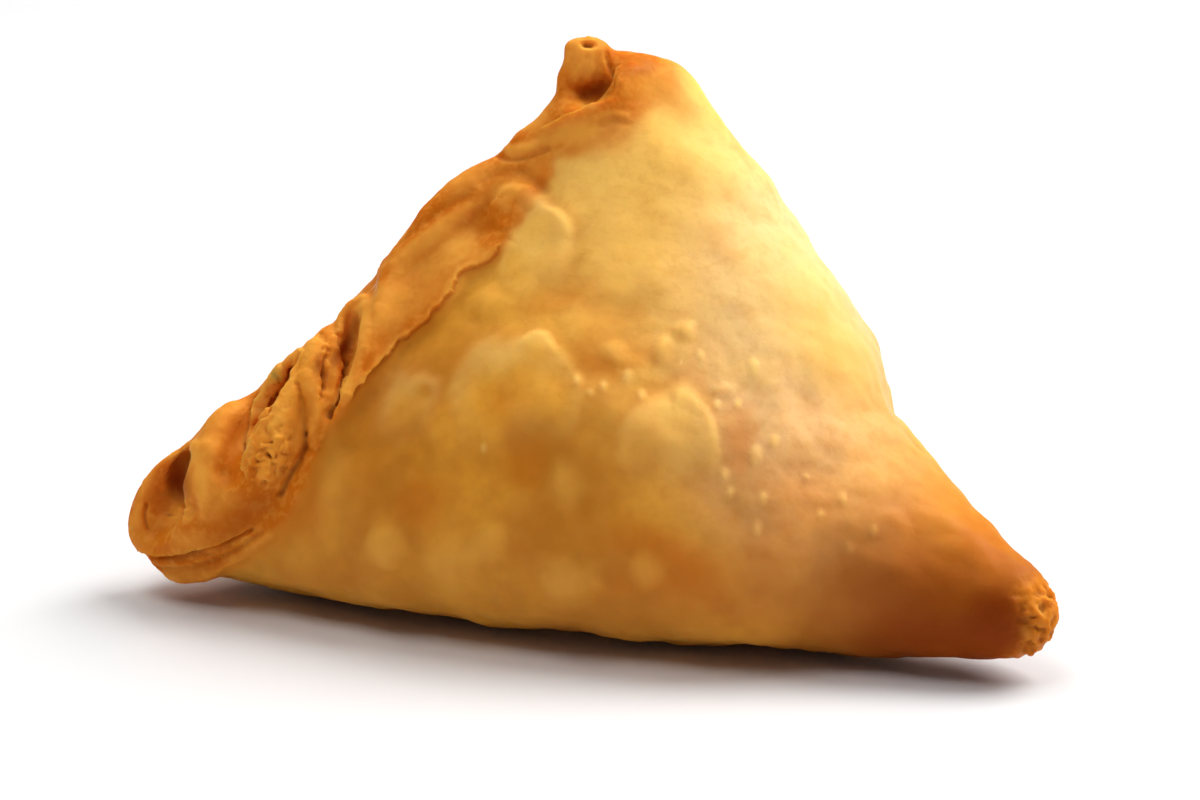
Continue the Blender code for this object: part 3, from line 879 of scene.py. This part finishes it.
# Hollow and crest masks: the material paints shade into the dips and highlights onto the crests.
store(crust, "hollow", np.clip(broad_dip / DEEP_BROAD_DIP, 0, 1))
store(crust, "rim", np.clip(-broad_dip / HIGH_BROAD_RIM, 0, 1))
store(crust, "fine hollow", np.clip(fine_dip / DEEP_FINE_DIP, 0, 1))
store(crust, "seam", spread(seam, edges, 3))
store(crust, "near seam", spread(seam, edges, NEAR_SEAM_EASING))
store(crust, "torn", spread(torn, edges, 2))
# Grooves and beads of the strokes: the material paints shade into the grooves and highlights onto the beads.
store(crust, "pressed", np.clip(-spread(drawn, edges, 2) / DEEP_GROOVE, 0, 1))
store(crust, "raised", np.clip(spread(drawn, edges, 2) / HIGH_BEAD, 0, 1))
# Paler skin and painted highlights on the blister rims, the bubbles and the tops of the hidden blisters.
store(crust, "pale and lit blisters", spread(np.maximum(pale_and_lit_blisters * sight, 0.6 * bulge), edges, 3))
for name, paint in paints.items():
    store(crust, name, spread(paint, edges, 6))
print("dips in mm, fine and broad:", fine_dip.max().round(2), broad_dip.max().round(2))

triangles = sum(len(face.vertices) - 2 for face in crust.data.polygons)
thin = crust.modifiers.new("Thin out", "DECIMATE")
thin.ratio = TRIANGLES_KEPT / triangles
thin.use_collapse_triangulate = True
apply_all(crust)
print("triangles before and after:", triangles, len(crust.data.polygons))

# %% [markdown]
# Thinning now and then folds a tiny triangle over, which shows as a dark dot.
# Such faces point away from the faces around them. On smooth crust a slight
# tilt already gives them away, but where the dough is torn only a complete fold
# counts. They are selected in code, and Smooth Vertices relaxes them. Last, what
# dips below the table is lifted.

# %% Relax the folded triangles
FOLDED = 0.1
TILTED = 0.93
ALONE = 0.2
RELAXINGS = 4
ROUNDS = 3


def folded_points(piece):
    """True for each point whose faces are folded over, or tilted where all around is smooth."""
    corners = np.empty(len(piece.data.loops), dtype=np.int64)
    piece.data.loops.foreach_get("vertex_index", corners)
    corners = corners.reshape(-1, 3)
    agreement = (face_values(piece, "normal")[:, None] * read_normals(piece)[corners]).sum(axis=2)
    worst = np.ones(len(piece.data.vertices))
    np.minimum.at(worst, corners.ravel(), agreement.ravel())
    tilted = worst < TILTED
    alone = spread(tilted, net_edges(piece), 8) < ALONE
    return (worst < FOLDED) | (tilted & alone)


select_only(crust)
for _ in range(ROUNDS):
    folded = folded_points(crust)
    bpy.ops.object.mode_set(mode="EDIT")
    bpy.ops.mesh.select_mode(type="VERT")
    bpy.ops.mesh.select_all(action="DESELECT")
    bpy.ops.object.mode_set(mode="OBJECT")
    crust.data.vertices.foreach_set("select", folded)
    bpy.ops.object.mode_set(mode="EDIT")
    bpy.ops.mesh.vertices_smooth(factor=0.5, repeat=RELAXINGS)
    bpy.ops.object.mode_set(mode="OBJECT")
    print("points relaxed:", int(folded.sum()))

points = read_points(crust)
points[:, 2] = np.maximum(points[:, 2], 0)
write_points(crust, points)

# %% [markdown]
# ## The material
#
# One Principled BSDF carries everything: the base colour is mixed from a light
# and a deep gold by cloudy noise, then browned along the seam and the tip. Painted
# shade darkens the underside and the hollows, and painted highlights lighten the
# crests, the blister rims and the upper right. The noise reads Object coordinates,
# so it stays fixed in the dough from every side.

# %% Start the crust material
LIT_RIGHT_PALE = (0.99, 0.69, 0.33)
BLISTER_PALE_AND_LIT = (0.99, 0.64, 0.20)
WARM_PALE = (0.99, 0.60, 0.138)
PALE_GOLD = (0.95, 0.51, 0.085)
GOLD = (0.84, 0.37, 0.035)
DEEP_GOLD = (0.58, 0.21, 0.017)
UNDERSIDE_SHADE = (0.58, 0.215, 0.040)
BROWN = (0.26, 0.042, 0.003)
SEAM_LIGHT = (0.95, 0.43, 0.062)
TORN_DOUGH = (0.84, 0.29, 0.022)
SEAM_ORANGE = (0.63, 0.155, 0.006)
HOLLOW_SHADE = (0.24, 0.040, 0.003)

material = bpy.data.materials.new("fried crust")
material.use_nodes = True
nodes = material.node_tree.nodes
links = material.node_tree.links
shader = nodes["Principled BSDF"]
shader.inputs["Specular IOR Level"].default_value = 0.03
shader.inputs["Subsurface Weight"].default_value = 0.5
shader.inputs["Subsurface Radius"].default_value = (1.0, 0.45, 0.18)
shader.inputs["Subsurface Scale"].default_value = 0.002
shader.inputs["Coat Weight"].default_value = 0.02
shader.inputs["Coat Roughness"].default_value = 0.3
coordinates = nodes.new("ShaderNodeTexCoord")

# %% Helpers for nodes
def attribute_of(name):
    node = nodes.new("ShaderNodeAttribute")
    node.attribute_name = name
    return node.outputs["Fac"]


def noise_of(size_mm, detail=3.0, move=(0, 0, 0)):
    """Cloudy noise whose patches measure about size_mm."""
    mapping = nodes.new("ShaderNodeMapping")
    mapping.inputs["Scale"].default_value = [1 / (size_mm * MM)] * 3
    mapping.inputs["Location"].default_value = move
    links.new(coordinates.outputs["Object"], mapping.inputs["Vector"])
    pattern = nodes.new("ShaderNodeTexNoise")
    pattern.inputs["Scale"].default_value = 1.0
    pattern.inputs["Detail"].default_value = detail
    links.new(mapping.outputs["Vector"], pattern.inputs["Vector"])
    return pattern.outputs["Fac"]


def remap(value, low, high, to_low=0.0, to_high=1.0):
    """A smooth ramp from low to high, which may also run downward."""
    node = nodes.new("ShaderNodeMapRange")
    node.interpolation_type = "SMOOTHSTEP"
    node.inputs["From Min"].default_value = low
    node.inputs["From Max"].default_value = high
    node.inputs["To Min"].default_value = to_low
    node.inputs["To Max"].default_value = to_high
    links.new(value, node.inputs["Value"])
    return node.outputs["Result"]


def math_of(operation, first, second=0.0):
    node = nodes.new("ShaderNodeMath")
    node.operation = operation
    for socket, value in zip(node.inputs, (first, second)):
        if isinstance(value, bpy.types.NodeSocket):
            links.new(value, socket)
        else:
            socket.default_value = value
    return node.outputs[0]


def mix(share, amount, first, second):
    """Mixes two colours by a share times an amount; a colour is a socket or three numbers."""
    node = nodes.new("ShaderNodeMix")
    node.data_type = "RGBA"
    links.new(math_of("MULTIPLY", share, amount), node.inputs[0])
    for number, value in ((6, first), (7, second)):
        if isinstance(value, bpy.types.NodeSocket):
            links.new(value, node.inputs[number])
        else:
            node.inputs[number].default_value = (*value, 1.0)
    return node.outputs[2]


# %% [markdown]
# ### The gold of the broad sides
#
# The broad sides are the palest part. One noise through a Color Ramp would give
# an even mottle. Here noises of several sizes are laid over each other with Mix
# nodes. Ramps along X and Z make the upper right paler as painted light, where
# the lamps fall strongest, and a ramp along Y turns the back deeper gold. The
# painted masks, the painted shade in the hollows and the painted highlights on
# the crests and the rims of the blisters go on top.

# %% Mix the gold of the broad sides
place = nodes.new("ShaderNodeSeparateXYZ")
links.new(coordinates.outputs["Object"], place.inputs["Vector"])
# Painted light: ramps toward the right and upward make the upper right paler, as if brightly lit.
rightward = math_of("MULTIPLY", place.outputs["X"], 0.6)
upward = math_of("MULTIPLY", place.outputs["Z"], 0.8)
up_right = math_of("ADD", rightward, upward)

clouds = remap(noise_of(13, 4), 0.36, 0.62)
golden = mix(clouds, 1.0, GOLD, DEEP_GOLD)
sunny = mix(remap(place.outputs["X"], 0.004, 0.020), 1.0, WARM_PALE, LIT_RIGHT_PALE)
before_tip = remap(place.outputs["X"], 0.044, 0.024)
golden = mix(math_of("MULTIPLY", remap(up_right, 0.016, 0.044), before_tip), 0.85, golden, sunny)
golden = mix(remap(place.outputs["Y"], 0.012, 0.028), 0.5, golden, DEEP_GOLD)
mottle = remap(noise_of(3.5, 3, (3, 1, 2)), 0.45, 0.68)
golden = mix(mottle, 0.24, golden, DEEP_GOLD)
golden = mix(remap(noise_of(1.1, 4, (8, 4, 1)), 0.48, 0.70), 0.16, golden, DEEP_GOLD)
# Painted shade: the hollows of the broad side turn to deep gold.
golden = mix(attribute_of("hollow"), 0.35, golden, DEEP_GOLD)
# The pale tone turns warmer toward the upper right, as painted light.
pale = mix(remap(up_right, 0.012, 0.036), 1.0, PALE_GOLD, WARM_PALE)
# Brown patches: real browner mottle, and painted shade on the lower parts.
golden = mix(attribute_of("brown and shade paint"), 1.0, golden, SEAM_ORANGE)
# Pale patches: paler lumps, and painted light on the upper right edge.
golden = mix(attribute_of("pale and lit paint"), 0.9, golden, pale)
# Painted highlight: the crests turn pale.
golden = mix(attribute_of("rim"), 0.35, golden, pale)
# Blister rims and bubbles: paler skin with painted highlights.
golden = mix(attribute_of("pale and lit blisters"), 0.55, golden, BLISTER_PALE_AND_LIT)

# %% [markdown]
# ### The brown tip and the shaded underside
#
# The thin tip browns first. The lower parts are darkened as painted shade,
# since little light reaches the underside. Both are found by position: ramps
# along X and Z make soft masks, and where the two meet the crust is darkest,
# from the tip's real browning and painted shade together.

# %% Brown the tip and shade the underside
low_down = remap(place.outputs["Z"], 0.022, 0.004)
toward_tip = remap(place.outputs["X"], 0.016, 0.044)
# Painted shade: the lower parts darken toward the bottom.
browned = mix(low_down, 0.4, golden, UNDERSIDE_SHADE)
browned = mix(remap(attribute_of("near seam"), 0.02, 0.5), 0.5, browned, SEAM_ORANGE)
browned = mix(toward_tip, 0.5, browned, SEAM_ORANGE)
# Darkest under the tip: its real browning, with painted shade below.
browned = mix(math_of("MULTIPLY", low_down, toward_tip), 0.9, browned, BROWN)
browned = mix(attribute_of("torn"), 0.6, browned, TORN_DOUGH)

# %% [markdown]
# ### The orange seam and the dark hollows
#
# The folded rope is drier dough and fries to orange. Its tone is mixed apart and
# laid over the gold by the seam's mask. Folds look dark because little light
# reaches into them. The lamps give part of that, and the stored masks of
# hollow and pressed places deepen it.

# %% Colour the seam and darken the hollows
seam_tone = mix(remap(noise_of(6, 3, (1, 7, 4)), 0.42, 0.66), 0.45, SEAM_ORANGE, SEAM_LIGHT)
seam_tone = mix(remap(noise_of(0.9, 4, (2, 9, 6)), 0.46, 0.64), 0.25, seam_tone, SEAM_LIGHT)
# Painted highlight: the raised beads of the rope turn to the light seam tone.
seam_tone = mix(attribute_of("raised"), 0.55, seam_tone, SEAM_LIGHT)
seam_tone = mix(attribute_of("torn"), 0.5, seam_tone, TORN_DOUGH)
# Brown patches in the seam, partly painted shade beside its folds.
seam_tone = mix(attribute_of("brown and shade paint"), 0.8, seam_tone, SEAM_ORANGE)
browned = mix(attribute_of("seam"), 1.0, browned, seam_tone)
# Light patches, mostly painted highlights, go on in the light seam tone.
browned = mix(attribute_of("light and highlight paint"), 0.8, browned, SEAM_LIGHT)
# Painted shade in the seam's hollows and pressed grooves.
seam_hollow = math_of("MULTIPLY", attribute_of("hollow"), attribute_of("seam"))
deep = math_of("MAXIMUM", seam_hollow, attribute_of("pressed"))
darkened = mix(remap(deep, 0.2, 1.0), 0.8, browned, HOLLOW_SHADE)
# Painted shade in the fine dips and in the pits of the torn dough.
darkened = mix(attribute_of("fine hollow"), 0.12, darkened, BROWN)
pores = math_of("MULTIPLY", attribute_of("fine hollow"), attribute_of("torn"))
darkened = mix(pores, 0.5, darkened, HOLLOW_SHADE)
# Dark patches: the tip's real dark brown, and painted shade in creases and the pocket.
darkened = mix(attribute_of("dark and shade paint"), 1.0, darkened, BROWN)
# Painted highlights on torn crumbs that catch the light, with some lighter crumbs.
light_and_lit_crumbs = math_of("MULTIPLY", attribute_of("light and highlight paint"), attribute_of("torn"))
darkened = mix(light_and_lit_crumbs, 0.6, darkened, SEAM_LIGHT)
links.new(darkened, shader.inputs["Base Color"])

# %% [markdown]
# ### Fine grain and sheen
#
# The finest grain would need millions of faces, so a Bump node gives it from
# noise. Another noise makes some patches drier and others oilier, which breaks
# up the shine.

# %% Give it a fine bump and an uneven shine
bump = nodes.new("ShaderNodeBump")
bump.inputs["Strength"].default_value = 0.18
bump.inputs["Distance"].default_value = 0.0002
links.new(noise_of(0.7, 3), bump.inputs["Height"])
links.new(bump.outputs["Normal"], shader.inputs["Normal"])
gloss = remap(noise_of(3.0, 2, (5, 2, 7)), 0.35, 0.65, 0.40, 0.58)
links.new(gloss, shader.inputs["Roughness"])

crust.data.materials.clear()
crust.data.materials.append(material)
select_only(crust)
bpy.ops.object.shade_smooth()
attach(crust, "root")
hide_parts("samosa")

# %% [markdown]
# ## Floor and light
#
# The picture has a plain white ground. A large pale plane does for it. It is
# only a stage, and is no part of the piece.

# %% Add the floor
bpy.ops.mesh.primitive_plane_add(size=4.0, location=(0, 0, 0))
floor = bpy.context.object
floor.name = "floor"
paint = bpy.data.materials.new("pale floor")
paint.use_nodes = True
paint.node_tree.nodes["Principled BSDF"].inputs["Base Color"].default_value = (0.79, 0.79, 0.79, 1)
paint.node_tree.nodes["Principled BSDF"].inputs["Roughness"].default_value = 0.35
floor.data.materials.append(paint)

# %% [markdown]
# The shadow is soft and falls toward the viewer, so the strongest light is a
# large lamp high up, behind and to the right. A weaker one stands at the back
# left and lights the rope's crests. A small one fills in from the front left,
# and an even dim sky does the rest.

# %% Add the lights
LOOK_AT = Vector((0, 0, 25)) * MM


def add_lamp(name, place, size, power):
    turn = (LOOK_AT - Vector(place)).to_track_quat("-Z", "Y").to_euler()
    bpy.ops.object.light_add(type="AREA", location=place, rotation=turn)
    lamp = bpy.context.object
    lamp.name = name
    lamp.data.size = size
    lamp.data.energy = power


add_lamp("key", (0.9, 0.85, 1.6), 1.5, 56)
add_lamp("fill", (-0.2, -0.6, 1.5), 0.8, 8)
add_lamp("top left", (-0.6, 0.45, 1.5), 1.5, 11.5)

sky = bpy.data.worlds.new("sky")
sky.use_nodes = True
sky.node_tree.nodes["Background"].inputs["Color"].default_value = (1, 1, 1, 1)
sky.node_tree.nodes["Background"].inputs["Strength"].default_value = 0.13
bpy.context.scene.world = sky
bpy.context.scene.view_settings.view_transform = "Standard"
